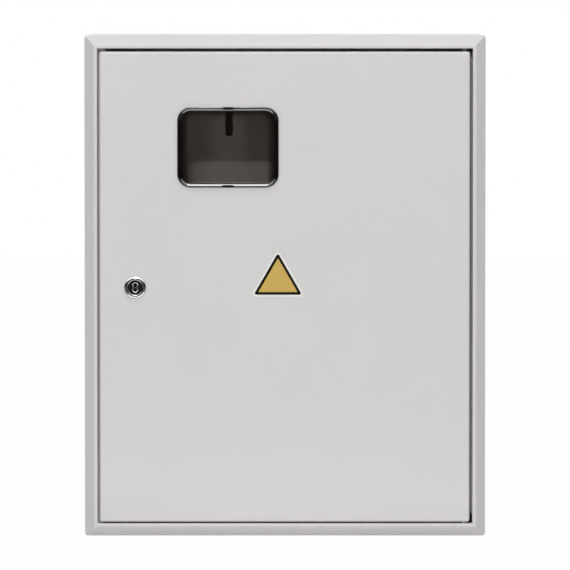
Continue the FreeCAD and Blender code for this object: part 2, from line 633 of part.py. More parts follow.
def meter_plate():
    """One sheet folded from its top foot over the tongue and the step to its bottom foot."""
    trace = [(SHEET, PLATE_TOP + PLATE_SHEET + PLATE_FOOT), (SHEET, PLATE_TOP),
             (TONGUE_DEPTH, PLATE_TOP), (TONGUE_DEPTH, STEP_TOP),
             (PLATE_DEPTH, STEP_TOP - STEP_HEIGHT), (PLATE_DEPTH, PLATE_BOTTOM),
             (SHEET, PLATE_BOTTOM), (SHEET, PLATE_BOTTOM - PLATE_SHEET - PLATE_FOOT)]
    right = WINDOW_X + PLATE_WIDTH / 2
    sheet = bent_sheet([at(right, d, z) for d, z in trace], PLATE_SHEET, SHEET_BEND,
                       Vector(-PLATE_WIDTH, 0, 0))
    through = (SHEET - CUT_OVERRUN, PLATE_DEPTH + PLATE_SHEET + CUT_OVERRUN)
    upper_slot = oblong(WINDOW_X, METER_SLOT_FOOT + METER_SLOT_LENGTH / 2, METER_SLOT_WIDTH,
                        METER_SLOT_LENGTH, *through, True)
    sheet = sheet.cut(upper_slot)
    for side in (-1, 1):
        sheet = sheet.cut(oblong(WINDOW_X + side * LOWER_SLOT_SPREAD, LOWER_SLOT_Z,
                                 METER_SLOT_WIDTH, LOWER_SLOT_LENGTH, *through, False))
    for x, z in plate_stud_places():
        sheet = sheet.cut(stud_hole(x, z, PLATE_SHEET))
    return sheet


# Breaker rail, its brackets and its cover
def bracket_stud_places(side):
    x = side * (BRACKET_X - BRACKET_SHEET - BRACKET_FOOT / 2)
    reach = BRACKET_HEIGHT / 2 - BRACKET_STUD_INSET
    return [(x, RAIL_Z + end * reach) for end in (-1, 1)]


def cover_screw_places():
    x = BRACKET_X + BRACKET_SHEET + (BRACKET_FLANGE - BRACKET_SHEET) / 2
    z = BRACKET_HEIGHT / 2 - COVER_SCREW_INSET_Z
    return [(side * x, RAIL_Z + end * z) for side in (-1, 1) for end in (-1, 1)]


def rail_screw_places():
    x = BRACKET_X - RAIL_LUG_LENGTH / 2
    return [(side * x, RAIL_Z) for side in (-1, 1)]


def right_bracket():
    """A Z-shaped upright with a lug for the rail bent in from its web."""
    foot_end = BRACKET_X - BRACKET_SHEET - BRACKET_FOOT
    trace = [(foot_end, SHEET), (BRACKET_X, SHEET), (BRACKET_X, COVER_SEAT - BRACKET_SHEET),
             (BRACKET_X + BRACKET_FLANGE, COVER_SEAT - BRACKET_SHEET)]
    top = RAIL_Z + BRACKET_HEIGHT / 2
    bracket = bent_sheet([at(x, d, top) for x, d in trace], BRACKET_SHEET, SHEET_BEND,
                         Vector(0, 0, -BRACKET_HEIGHT))
    lug = block(BRACKET_X - RAIL_LUG_LENGTH, BRACKET_X - BRACKET_SHEET / 2,
                RAIL_BACK - BRACKET_SHEET, RAIL_BACK,
                RAIL_Z - RAIL_LUG_HEIGHT / 2, RAIL_Z + RAIL_LUG_HEIGHT / 2)
    bracket = bracket.fuse(lug).removeSplitter()
    for x, z in bracket_stud_places(1):
        bracket = bracket.cut(stud_hole(x, z, BRACKET_SHEET))
    tapped = SCREW_DIAMETER / 2 + THREAD_CLEARANCE
    for x, z in cover_screw_places() + rail_screw_places():
        if x > 0:
            bracket = bracket.cut(rod_along_depth(x, z, tapped, RAIL_BACK - BRACKET_SHEET,
                                                  COVER_SEAT + CUT_OVERRUN))
    return bracket


def left_bracket():
    return right_bracket().mirror(Vector(0, 0, 0), Vector(1, 0, 0))


def din_rail():
    """Top-hat rail, 35 mm high, with a row of slots in its crown."""
    crown = RAIL_CROWN / 2 - RAIL_SHEET
    brim = RAIL_HEIGHT / 2
    trace = [(RAIL_FRONT - RAIL_SHEET, -brim), (RAIL_FRONT - RAIL_SHEET, -crown - RAIL_SHEET),
             (RAIL_BACK, -crown - RAIL_SHEET), (RAIL_BACK, crown + RAIL_SHEET),
             (RAIL_FRONT - RAIL_SHEET, crown + RAIL_SHEET), (RAIL_FRONT - RAIL_SHEET, brim)]
    start = -RAIL_LENGTH / 2
    rail = bent_sheet([at(start, d, RAIL_Z + z) for d, z in trace], RAIL_SHEET, RAIL_SHEET / 2,
                      Vector(RAIL_LENGTH, 0, 0))
    for number in range(RAIL_SLOT_COUNT):
        slot_x = RAIL_SLOT_PITCH * (number - (RAIL_SLOT_COUNT - 1) / 2)
        rail = rail.cut(oblong(slot_x, RAIL_Z, RAIL_SLOT_WIDTH, RAIL_SLOT_LENGTH,
                               RAIL_BACK - CUT_OVERRUN, RAIL_BACK + RAIL_SHEET + CUT_OVERRUN, False))
    for x, z in rail_screw_places():
        rail = rail.cut(rod_along_depth(x, z, SCREW_DIAMETER / 2 + STUD_HOLE_CLEARANCE,
                                        RAIL_BACK - CUT_OVERRUN, RAIL_BACK + RAIL_SHEET + CUT_OVERRUN))
    return rail


def breaker_cover():
    front = COVER_SEAT + COVER_SHEET
    outer = plate(COVER_WIDTH, COVER_HEIGHT, COVER_CORNER, front - COVER_FLANGE, front, 0, RAIL_Z)
    outer = outer.makeFillet(COVER_CORNER * 0.75, edges_on_depth(outer, front))
    inner = plate(COVER_WIDTH - 2 * COVER_SHEET, COVER_HEIGHT - 2 * COVER_SHEET,
                  COVER_CORNER - COVER_SHEET / 2, front - COVER_FLANGE - CUT_OVERRUN, COVER_SEAT,
                  0, RAIL_Z)
    cover = outer.cut(inner)
    cover = cover.cut(plate(MODULE_SLOT_WIDTH, MODULE_SLOT_HEIGHT, MODULE_SLOT_RADIUS,
                            COVER_SEAT - CUT_OVERRUN, front + CUT_OVERRUN, 0, RAIL_Z))
    for x, z in cover_screw_places():
        cover = cover.cut(rod_along_depth(x, z, SCREW_DIAMETER / 2 + STUD_HOLE_CLEARANCE,
                                          COVER_SEAT - CUT_OVERRUN, front + CUT_OVERRUN))
    return cover


# Terminal bars
def terminal_places():
    first = BAR_X - BAR_PITCH * (BAR_TERMINALS - 1) / 2
    return [first + BAR_PITCH * number for number in range(BAR_TERMINALS)]


def support_places():
    return [BAR_X + side * SUPPORT_SPREAD for side in (-1, 1)]


def terminal_bar(z):
    bar = block(BAR_X - BAR_LENGTH / 2, BAR_X + BAR_LENGTH / 2, BAR_BACK, BAR_FRONT,
                z - BAR_HEIGHT / 2, z + BAR_HEIGHT / 2)
    tapped = SCREW_DIAMETER / 2 + THREAD_CLEARANCE
    for x in terminal_places():
        bar = bar.cut(rod_along_height(x, BAR_BACK + BAR_THICKNESS / 2, BAR_WIRE_HOLE / 2,
                                       z - BAR_HEIGHT, z + BAR_HEIGHT))
        bar = bar.cut(rod_along_depth(x, z, tapped, BAR_BACK + BAR_THICKNESS / 2,
                                      BAR_FRONT + CUT_OVERRUN))
    for x in support_places():
        bar = bar.cut(rod_along_depth(x, z, SCREW_DIAMETER / 2 + STUD_HOLE_CLEARANCE,
                                      BAR_BACK - CUT_OVERRUN, BAR_FRONT + CUT_OVERRUN))
    return bar


def bar_screws(z):
    """Clamping screws over the wire holes, and one fixing screw at each end."""
    screws = [screw(x, z, BAR_FRONT, BAR_THICKNESS / 2 - BAR_WIRE_HOLE / 4) for x in terminal_places()]
    screws += [screw(x, z, BAR_FRONT, BAR_THICKNESS + SCREW_GRIP) for x in support_places()]
    return Part.makeCompound(screws)


def support_stud_places(z):
    foot_middle = SUPPORT_WIDTH / 2 + SUPPORT_FOOT_LENGTH / 2
    return [(x, z - foot_middle) for x in support_places()]


def bar_support(x, z):
    """A tapered moulded post with a drilled foot."""
    def square(half, depth):
        corners = [(-half, -half), (half, -half), (half, half), (-half, half), (-half, -half)]
        return Part.makePolygon([at(x + across, depth, z + up) for across, up in corners])

    post = Part.makeLoft([square(SUPPORT_WIDTH / 2, SHEET), square(SUPPORT_TOP_WIDTH / 2, BAR_BACK)],
                         True, True)
    foot = block(x - SUPPORT_WIDTH / 2, x + SUPPORT_WIDTH / 2, SHEET, SHEET + SUPPORT_FOOT,
                 z - SUPPORT_WIDTH / 2 - SUPPORT_FOOT_LENGTH, z)
    support = post.fuse(foot).removeSplitter()
    insert = rod_along_depth(x, z, SCREW_DIAMETER / 2 + THREAD_CLEARANCE,
                             BAR_BACK - SCREW_GRIP, BAR_BACK + CUT_OVERRUN)
    support = support.cut(insert)
    stud_x, stud_z = x, z - SUPPORT_WIDTH / 2 - SUPPORT_FOOT_LENGTH / 2
    return support.cut(stud_hole(stud_x, stud_z, SUPPORT_FOOT))


def bar_supports(z):
    return Part.makeCompound([bar_support(x, z) for x in support_places()])


# Fasteners
def screw(x, z, seat, length):
    """A pan-head screw driven towards the wall, its head on a seat."""
    head = rod_along_depth(x, z, SCREW_HEAD_DIAMETER / 2, seat, seat + SCREW_HEAD)
    return head.fuse(rod_along_depth(x, z, SCREW_DIAMETER / 2, seat - length, seat)).removeSplitter()


def stud_hole(x, z, foot):
    return rod_along_depth(x, z, STUD_DIAMETER / 2 + STUD_HOLE_CLEARANCE, SHEET - CUT_OVERRUN,
                           SHEET + foot + CUT_OVERRUN)


def nut(x, z, across, height, thread, d0):
    blank = hexagon(x, z, across, d0, d0 + height)
    return blank.cut(rod_along_depth(x, z, thread / 2 + THREAD_CLEARANCE, d0 - CUT_OVERRUN,
                                     d0 + height + CUT_OVERRUN))


def stud_places():
    """Every weld stud on the back wall, with the thickness of the foot that it holds."""
    places = [(x, z, PLATE_SHEET) for x, z in plate_stud_places()]
    for side in (-1, 1):
        places += [(x, z, BRACKET_SHEET) for x, z in bracket_stud_places(side)]
    for bar_z in (NEUTRAL_BAR_Z, EARTH_BAR_Z):
        places += [(x, z, SUPPORT_FOOT) for x, z in support_stud_places(bar_z)]
    return places


def panel_studs():
    return Part.makeCompound([rod_along_depth(x, z, STUD_DIAMETER / 2, SHEET, SHEET + STUD_LENGTH)
                              for x, z, _ in stud_places()])


def panel_nuts():
    return Part.makeCompound([nut(x, z, NUT_ACROSS, NUT_HEIGHT, STUD_DIAMETER, SHEET + foot)
                              for x, z, foot in stud_places()])


def rail_screws():
    seat = RAIL_BACK + RAIL_SHEET
    return Part.makeCompound([screw(x, z, seat, SCREW_GRIP) for x, z in rail_screw_places()])


def cover_screws():
    """Finger screws with broad heads that hold the breaker cover on its brackets."""
    front = COVER_SEAT + COVER_SHEET
    screws = []
    for x, z in cover_screw_places():
        head = rod_along_depth(x, z, COVER_SCREW_HEAD_DIAMETER / 2, front, front + COVER_SCREW_HEAD)
        shank = rod_along_depth(x, z, SCREW_DIAMETER / 2, front - SCREW_GRIP, front)
        screws.append(head.fuse(shank).removeSplitter())
    return Part.makeCompound(screws)


def earth_stud():
    return rod_along_depth(BAR_X, EARTH_STUD_Z, EARTH_STUD_DIAMETER / 2, SHEET,
                           SHEET + EARTH_STUD_LENGTH)


def earth_nut():
    return nut(BAR_X, EARTH_STUD_Z, EARTH_NUT_ACROSS, EARTH_NUT_HEIGHT, EARTH_STUD_DIAMETER, SHEET)


def door_earth_stud():
    return rod_along_depth(DOOR_EARTH_X, DOOR_EARTH_Z, EARTH_STUD_DIAMETER / 2,
                           DOOR_INNER - DOOR_STUD_LENGTH, DOOR_INNER)


def door_earth_nut():
    return nut(DOOR_EARTH_X, DOOR_EARTH_Z, EARTH_NUT_ACROSS, EARTH_NUT_HEIGHT,
               EARTH_STUD_DIAMETER, DOOR_INNER - EARTH_NUT_HEIGHT)


def pieces():
    return {
        "body_shell": body_shell(),
        "door_panel": door_panel(),
        "window_pane": window_pane(),
        "hinge_pin_upper": hinge_pin(1, DOOR_TOP),
        "hinge_pin_lower": hinge_pin(-1, DOOR_BOTTOM),
        "lock_body": lock_body(),
        "lock_nut": lock_nut(),
        "lock_plug": lock_plug(),
        "key_guide": key_guide(),
        "lock_cam": lock_cam(),
        "cam_washer": cam_washer(),
        "cam_screw": cam_screw(),
        "meter_plate": meter_plate(),
        "frame_bracket_left": left_bracket(),
        "frame_bracket_right": right_bracket(),
        "din_rail": din_rail(),
        "rail_screws": rail_screws(),
        "breaker_cover": breaker_cover(),
        "cover_screws": cover_screws(),
        "neutral_bar": terminal_bar(NEUTRAL_BAR_Z),
        "neutral_bar_supports": bar_supports(NEUTRAL_BAR_Z),
        "neutral_bar_screws": bar_screws(NEUTRAL_BAR_Z),
        "earth_bar": terminal_bar(EARTH_BAR_Z),
        "earth_bar_supports": bar_supports(EARTH_BAR_Z),
        "earth_bar_screws": bar_screws(EARTH_BAR_Z),
        "panel_studs": panel_studs(),
        "panel_nuts": panel_nuts(),
        "earth_stud": earth_stud(),
        "earth_nut": earth_nut(),
        "door_earth_stud": door_earth_stud(),
        "door_earth_nut": door_earth_nut(),
    }


def main():
    os.makedirs("parts", exist_ok=True)
    for name, shape in pieces().items():
        shape.exportStep(os.path.join("parts", name + ".step"))
        print(f"{name}: {len(shape.Solids)} solids, {shape.Volume / 1000:.2f} cm3, valid {shape.isValid()}")


main()
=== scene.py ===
# %% [markdown]
# # Dressing an electric meter box
# The box comes from CAD as a fixed frame of named nodes: a folded steel cabinet, an inset door, a
# smoked window, a cam lock and the fittings inside. This lesson gives each node its real finish,
# models the small things that CAD leaves plain, and sets up a light, a floor and a camera.

import bpy
import math
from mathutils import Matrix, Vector


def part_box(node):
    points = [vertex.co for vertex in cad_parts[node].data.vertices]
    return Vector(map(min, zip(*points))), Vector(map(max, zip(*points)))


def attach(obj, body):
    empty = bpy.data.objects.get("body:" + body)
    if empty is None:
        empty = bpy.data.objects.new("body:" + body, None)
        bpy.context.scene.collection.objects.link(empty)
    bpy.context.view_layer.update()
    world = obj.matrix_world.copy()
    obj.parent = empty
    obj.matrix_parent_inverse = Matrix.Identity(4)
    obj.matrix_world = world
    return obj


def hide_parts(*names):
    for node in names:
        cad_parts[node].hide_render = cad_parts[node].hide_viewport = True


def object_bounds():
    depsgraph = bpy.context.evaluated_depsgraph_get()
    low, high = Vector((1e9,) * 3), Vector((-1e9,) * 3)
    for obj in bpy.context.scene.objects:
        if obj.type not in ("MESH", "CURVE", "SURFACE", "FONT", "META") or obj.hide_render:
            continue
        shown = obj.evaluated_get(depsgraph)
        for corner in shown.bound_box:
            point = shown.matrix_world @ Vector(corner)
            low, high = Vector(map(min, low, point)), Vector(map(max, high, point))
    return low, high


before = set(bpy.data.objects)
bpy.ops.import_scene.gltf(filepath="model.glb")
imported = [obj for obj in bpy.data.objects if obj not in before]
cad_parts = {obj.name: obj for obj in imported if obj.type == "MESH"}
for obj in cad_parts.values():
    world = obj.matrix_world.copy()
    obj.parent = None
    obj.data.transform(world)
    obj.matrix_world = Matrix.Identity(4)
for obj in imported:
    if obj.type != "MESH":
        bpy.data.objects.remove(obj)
cad_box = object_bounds()
MM = 0.001
print("CAD nodes:", len(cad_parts), "box:", [round(v, 4) for v in cad_box[1] - cad_box[0]])

# %% [markdown]
# ## Small helpers
# Colours are written as the sRGB hex values that a colour picker shows, and a shader wants linear
# numbers, so one function converts them. One more adds a node with its settings and links. Every
# pattern is sized in millimetres: a texture's Scale counts repeats per metre, so it is 1000 / size.

# %% Colour, node and pattern helpers


def colour(code):
    """The linear RGBA of an sRGB hex code."""
    parts = [int(code[i:i + 2], 16) / 255 for i in (1, 3, 5)]
    linear = [c / 12.92 if c <= 0.04045 else ((c + 0.055) / 1.055) ** 2.4 for c in parts]
    return (*linear, 1.0)


def add_node(tree, kind, inputs=None, **settings):
    """Adds a node. An input is given as a value, or as another node's output to link."""
    node = tree.nodes.new(kind)
    for name, value in settings.items():
        setattr(node, name, value)
    for name, value in (inputs or {}).items():
        if isinstance(value, bpy.types.NodeSocket):
            tree.links.new(value, node.inputs[name])
        else:
            node.inputs[name].default_value = value
    return node


def repeats(size_mm):
    """The texture scale at which a pattern repeats about every size_mm."""
    return 1000.0 / size_mm


def start_finish(name, **sockets):
    """A material with its Principled shader set, and Object coordinates to draw patterns on."""
    material = bpy.data.materials.new(name)
    material.use_nodes = True
    tree = material.node_tree
    shader = tree.nodes["Principled BSDF"]
    for socket, value in sockets.items():
        shader.inputs[socket.replace("_", " ")].default_value = value
    place = add_node(tree, "ShaderNodeTexCoord").outputs["Object"]
    return material, tree, shader, place


print("a grain of 1.6 mm repeats", repeats(1.6), "times a metre")

# %% [markdown]
# ## Powder-coated steel
# The cabinet, door, meter plate and breaker cover are sheet steel with a polyester powder coat, baked
# on. It is light grey, and a warmer grey on the meter plate. Baking leaves a faint orange peel about
# 2 mm across, which breaks up highlights, and a sheen that differs a little from place to place. A fine
# noise drives the bump, and a broad one drives the roughness and a very slight drift of the colour.

# %% Powder coat
PEEL_MM, PEEL_HEIGHT, PEEL_STRENGTH = 1.6, 0.15 * MM, 0.10
DRIFT_MM, SHEEN_DRIFT = 90, 0.05


def powder_coat(name, light, dark, sheen):
    material, tree, shader, place = start_finish(name, IOR=1.5)
    broad = add_node(tree, "ShaderNodeTexNoise", {"Vector": place, "Scale": repeats(DRIFT_MM),
                                                  "Detail": 2.0})
    tint = add_node(tree, "ShaderNodeMix", {"Factor": broad.outputs["Fac"], "A": colour(light),
                                            "B": colour(dark)}, data_type="RGBA")
    tree.links.new(tint.outputs["Result"], shader.inputs["Base Color"])
    gloss = add_node(tree, "ShaderNodeMapRange", {"Value": broad.outputs["Fac"],
                                                  "To Min": sheen - SHEEN_DRIFT,
                                                  "To Max": sheen + SHEEN_DRIFT})
    tree.links.new(gloss.outputs["Result"], shader.inputs["Roughness"])
    peel = add_node(tree, "ShaderNodeTexNoise", {"Vector": place, "Scale": repeats(PEEL_MM),
                                                 "Detail": 2.0})
    bump = add_node(tree, "ShaderNodeBump", {"Height": peel.outputs["Fac"], "Strength": PEEL_STRENGTH,
                                             "Distance": PEEL_HEIGHT})
    tree.links.new(bump.outputs["Normal"], shader.inputs["Normal"])
    return material


grey_coat = powder_coat("powder_coated_steel_light_grey", "#d5d2d2", "#d0cdcd", 0.35)
warm_coat = powder_coat("powder_coated_steel_warm_grey", "#d1c6c0", "#cabfb9", 0.32)
print("made", grey_coat.name, warm_coat.name)

# %% [markdown]
# ## Smoked polycarbonate
# The window is one clear moulding tinted dark brown-grey. It is see-through but lets little light
# past, so the inside looks dim, and its polished skin mirrors the room. A thin flat pane hardly bends
# light, so alpha stands for the tint without the noise of refraction. The rim is thicker than the pane,
# so light crosses more plastic there and it is darker: a rounded rectangle, measured from the window's
# middle, raises alpha outside the pane. A second, softer rectangle raises alpha in a border along the
# pane's sides and top: this is painted shade, standing for the shadow that the skirt and the door's
# edges cast on what lies behind. A clear coat keeps the skin's mirror-like glints.

# %% Smoked window
WINDOW_CORNER = 13.5 * MM
WINDOW_RIM = 4.2 * MM
RIM_EDGE_INNER, RIM_EDGE_OUTER = 0.2 * MM, 0.3 * MM
# Painted shade: a soft border of higher alpha along the pane's sides and top stands for the shadow of
# the skirt and the door's edges; its rectangle reaches below the pane so the bottom gets almost none.
PAINTED_SHADE_CORNER, PAINTED_SHADE_WIDTH = 18 * MM, 9 * MM
PAINTED_SHADE_DROP, PAINTED_SHADE_LIFT = Vector((0, 0, 12 * MM)), Vector((0, 0, 4 * MM))


def reach_beyond(tree, place, low, high, corner):
    """How far a point lies, seen from the front, beyond a box that is shrunk by its corner radius."""
    middle, half = (low + high) / 2, (high - low) / 2
    straight = (half.x - corner, 0, half.z - corner)
    outward = add_node(tree, "ShaderNodeMapping", {"Vector": place, "Scale": (1, 0, 1),
                                                   "Location": (-middle.x, 0, -middle.z)}).outputs[0]
    outward = add_node(tree, "ShaderNodeVectorMath", {0: outward}, operation="ABSOLUTE").outputs[0]
    outward = add_node(tree, "ShaderNodeVectorMath", {0: outward, 1: straight},
                       operation="SUBTRACT").outputs[0]
    outward = add_node(tree, "ShaderNodeVectorMath", {0: outward, 1: (0, 0, 0)},
                       operation="MAXIMUM").outputs[0]
    return add_node(tree, "ShaderNodeVectorMath", {0: outward}, operation="LENGTH").outputs["Value"]


def smoked_polycarbonate(pane, painted_shade, rim):
    material, tree, shader, place = start_finish(
        "smoked_polycarbonate_moulded", IOR=1.585, Specular_IOR_Level=0.8, Coat_Weight=1.0,
        Coat_Roughness=0.03, Coat_IOR=1.6)
    low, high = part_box("window_pane")
    rim_reach = reach_beyond(tree, place, low, high, WINDOW_CORNER)
    pane_edge = WINDOW_CORNER - WINDOW_RIM
    on_rim = add_node(tree, "ShaderNodeMapRange", {"Value": rim_reach,
                                                   "From Min": pane_edge - RIM_EDGE_INNER,
                                                   "From Max": pane_edge + RIM_EDGE_OUTER}).outputs[0]
    # Painted shade along the pane's sides and top, for the shadow cast on what lies behind the window.
    shade_reach = reach_beyond(tree, place, low - PAINTED_SHADE_DROP, high + PAINTED_SHADE_LIFT, PAINTED_SHADE_CORNER)
    shade_edge = PAINTED_SHADE_CORNER - WINDOW_RIM
    in_painted_shade = add_node(tree, "ShaderNodeMapRange", {"Value": shade_reach,
                                                      "From Min": shade_edge - PAINTED_SHADE_WIDTH,
                                                      "From Max": shade_edge},
                         interpolation_type="SMOOTHSTEP").outputs[0]
    alpha = add_node(tree, "ShaderNodeMix", {"Factor": in_painted_shade, "A": pane, "B": painted_shade}).outputs[0]
    alpha = add_node(tree, "ShaderNodeMix", {"Factor": on_rim, "A": alpha, "B": rim}).outputs[0]
    tree.links.new(alpha, shader.inputs["Alpha"])
    tint = add_node(tree, "ShaderNodeMix", {"Factor": on_rim, "A": colour("#180a08"),
                                            "B": colour("#0d0a09")}, data_type="RGBA")
    tree.links.new(tint.outputs["Result"], shader.inputs["Base Color"])
    drift = add_node(tree, "ShaderNodeTexNoise", {"Vector": place, "Scale": repeats(35), "Detail": 1.0})
    polish = add_node(tree, "ShaderNodeMapRange", {"Value": drift.outputs["Fac"], "To Min": 0.02,
                                                   "To Max": 0.04})
    tree.links.new(polish.outputs["Result"], shader.inputs["Roughness"])
    return material


# The middle alpha is that of the painted shade along the pane's sides and top.
smoked_window = smoked_polycarbonate(pane=0.25, painted_shade=0.74, rim=0.94)
print("made", smoked_window.name)

# %% [markdown]
# ## Metals
# Four metals look alike in colour and differ in how they were finished. Chrome plate is a clean
# mirror with a few rub marks. The key guide is polished nickel, a little warmer, and its keyway is
# darkened with painted shade: depth behind the front decides where. Bright zinc plate on the fasteners
# is slightly mottled by its passivation, and on studs a wave draws the thread's grooves. Galvanised
# sheet on the rail and brackets shows zinc crystals, about 8 mm across, each with its own grey and
# gloss: a Voronoi cell gives each a random value.

# %% Chrome, nickel, zinc and galvanised sheet
WAVES_PER_SCALE = 20 / math.tau
GROOVE_DEPTH = 0.35 * MM


def chrome_plate():
    material, tree, shader, place = start_finish("chrome_plated_zinc_casting", Metallic=1.0,
                                                 Base_Color=colour("#d9dadc"))
    rubs = add_node(tree, "ShaderNodeTexNoise", {"Vector": place, "Scale": repeats(2.5), "Detail": 5.0})
    gloss = add_node(tree, "ShaderNodeMapRange", {"Value": rubs.outputs["Fac"], "To Min": 0.03,
                                                  "To Max": 0.10})
    tree.links.new(gloss.outputs["Result"], shader.inputs["Roughness"])
    return material


def nickel_with_painted_keyway_shade(unshaded_depth):
    """Polished nickel, darkened as painted shade where it lies deeper than the given depth behind the
    front.
    """
    material, tree, shader, place = start_finish("polished_nickel_plated_brass", Metallic=1.0)
    depth = add_node(tree, "ShaderNodeSeparateXYZ", {"Vector": place}).outputs["Y"]
    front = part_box("key_guide")[0].y
    # Painted shade: what lies deeper than the given depth behind the front is mixed towards near-black.
    keyway_shade = add_node(tree, "ShaderNodeMapRange", {"Value": depth, "From Min": front + unshaded_depth,
                                                    "From Max": front + 1.5 * unshaded_depth}).outputs[0]
    tint = add_node(tree, "ShaderNodeMix", {"Factor": keyway_shade, "A": colour("#f0eee8"),
                                            "B": colour("#141210")}, data_type="RGBA")
    tree.links.new(tint.outputs["Result"], shader.inputs["Base Color"])
    lapping = add_node(tree, "ShaderNodeTexNoise", {"Vector": place, "Scale": repeats(0.6),
                                                    "Detail": 2.0})
    satin = add_node(tree, "ShaderNodeMapRange", {"Value": lapping.outputs["Fac"], "To Min": 0.07,
                                                  "To Max": 0.16})
    tree.links.new(satin.outputs["Result"], shader.inputs["Roughness"])
    return material


def zinc_plate(name, thread_pitch=None):
    """Bright zinc, with a thread's grooves along the depth where a pitch in mm is given."""
    material, tree, shader, place = start_finish(name, Metallic=1.0)
    mottle = add_node(tree, "ShaderNodeTexNoise", {"Vector": place, "Scale": repeats(3), "Detail": 4.0})
    tint = add_node(tree, "ShaderNodeMix", {"Factor": mottle.outputs["Fac"], "A": colour("#c3c8cc"),
                                            "B": colour("#d2d0c6")}, data_type="RGBA")
    tree.links.new(tint.outputs["Result"], shader.inputs["Base Color"])
    gloss = add_node(tree, "ShaderNodeMapRange", {"Value": mottle.outputs["Fac"], "To Min": 0.24,
                                                  "To Max": 0.42})
    tree.links.new(gloss.outputs["Result"], shader.inputs["Roughness"])
    if thread_pitch:
        turns = add_node(tree, "ShaderNodeTexWave", {"Vector": place, "Distortion": 0.0,
                                                     "Scale": repeats(thread_pitch) / WAVES_PER_SCALE},
                         bands_direction="Y", wave_profile="TRI")
        groove = add_node(tree, "ShaderNodeBump", {"Height": turns.outputs["Fac"], "Strength": 1.0,
                                                   "Distance": GROOVE_DEPTH})
        tree.links.new(groove.outputs["Normal"], shader.inputs["Normal"])
    return material


def galvanised_sheet():
    material, tree, shader, place = start_finish("hot_dip_galvanised_sheet", Metallic=1.0)
    crystals = add_node(tree, "ShaderNodeTexVoronoi", {"Vector": place, "Scale": repeats(8)})
    cell = add_node(tree, "ShaderNodeSeparateColor", {"Color": crystals.outputs["Color"]}).outputs["Red"]
    tint = add_node(tree, "ShaderNodeMix", {"Factor": cell, "A": colour("#aab1b5"),
                                            "B": colour("#c8cdd0")}, data_type="RGBA")
    tree.links.new(tint.outputs["Result"], shader.inputs["Base Color"])
    gloss = add_node(tree, "ShaderNodeMapRange", {"Value": cell, "To Min": 0.32, "To Max": 0.55})
    tree.links.new(gloss.outputs["Result"], shader.inputs["Roughness"])
    return material


chrome = chrome_plate()
# The keyway's painted shade starts 0.7 mm behind the key guide's front.
nickel = nickel_with_painted_keyway_shade(0.7 * MM)
zinc = zinc_plate("bright_zinc_plated_steel")
zinc_thread = zinc_plate("bright_zinc_plated_thread", thread_pitch=0.8)
galvanised = galvanised_sheet()
print("made", [m.name for m in (chrome, nickel, zinc, zinc_thread, galvanised)])

# %% [markdown]
# ## Brass and plastics
# The terminal bars are drawn brass, with fine draw lines along their length and a warm, slightly
# dulled colour. Their supports are moulded polyamide, blue for neutral and green for earth, with the
# fine matt grain of a spark-eroded mould. The lock's rotor is a black-coated casting.

# %% Drawn brass and moulded plastics
DRAW_STRETCH = (0.03, 1.0, 1.0)
GRAIN_HEIGHT, GRAIN_STRENGTH, GRAIN_GLOSS = 0.1 * MM, 0.15, 0.06


def drawn_brass():
    material, tree, shader, place = start_finish("drawn_brass", Metallic=1.0)
    stretched = add_node(tree, "ShaderNodeMapping", {"Vector": place, "Scale": DRAW_STRETCH})
    lines = add_node(tree, "ShaderNodeTexNoise", {"Vector": stretched.outputs["Vector"],
                                                  "Scale": repeats(0.5), "Detail": 3.0})
    tint = add_node(tree, "ShaderNodeMix", {"Factor": lines.outputs["Fac"], "A": colour("#c9a052"),
                                            "B": colour("#e0bd75")}, data_type="RGBA")
    tree.links.new(tint.outputs["Result"], shader.inputs["Base Color"])
    gloss = add_node(tree, "ShaderNodeMapRange", {"Value": lines.outputs["Fac"], "To Min": 0.22,
                                                  "To Max": 0.40})
    tree.links.new(gloss.outputs["Result"], shader.inputs["Roughness"])
    return material


def moulded(name, code, roughness, grain_mm, specular=0.35):
    material, tree, shader, place = start_finish(name, Base_Color=colour(code), IOR=1.53,
                                                 Specular_IOR_Level=specular)
    grain = add_node(tree, "ShaderNodeTexNoise", {"Vector": place, "Scale": repeats(grain_mm),
                                                  "Detail": 3.0})
    gloss = add_node(tree, "ShaderNodeMapRange", {"Value": grain.outputs["Fac"],
                                                  "To Min": roughness - GRAIN_GLOSS,
                                                  "To Max": roughness + GRAIN_GLOSS})
    tree.links.new(gloss.outputs["Result"], shader.inputs["Roughness"])
    bump = add_node(tree, "ShaderNodeBump", {"Height": grain.outputs["Fac"], "Strength": GRAIN_STRENGTH,
                                             "Distance": GRAIN_HEIGHT})
    tree.links.new(bump.outputs["Normal"], shader.inputs["Normal"])
    return material


brass = drawn_brass()
blue_polyamide = moulded("moulded_polyamide_blue", "#1d5ea8", 0.48, 0.7)
green_polyamide = moulded("moulded_polyamide_green", "#3c8a3e", 0.48, 0.7)
black_casting = moulded("black_coated_zinc_casting", "#0b0a0a", 0.42, 0.9, specular=0.22)
print("made", [m.name for m in (brass, blue_polyamide, green_polyamide, black_casting)])

# %% [markdown]
# ## Finishes on the CAD nodes
# A CAD node keeps its mesh and takes a better material in its slot.

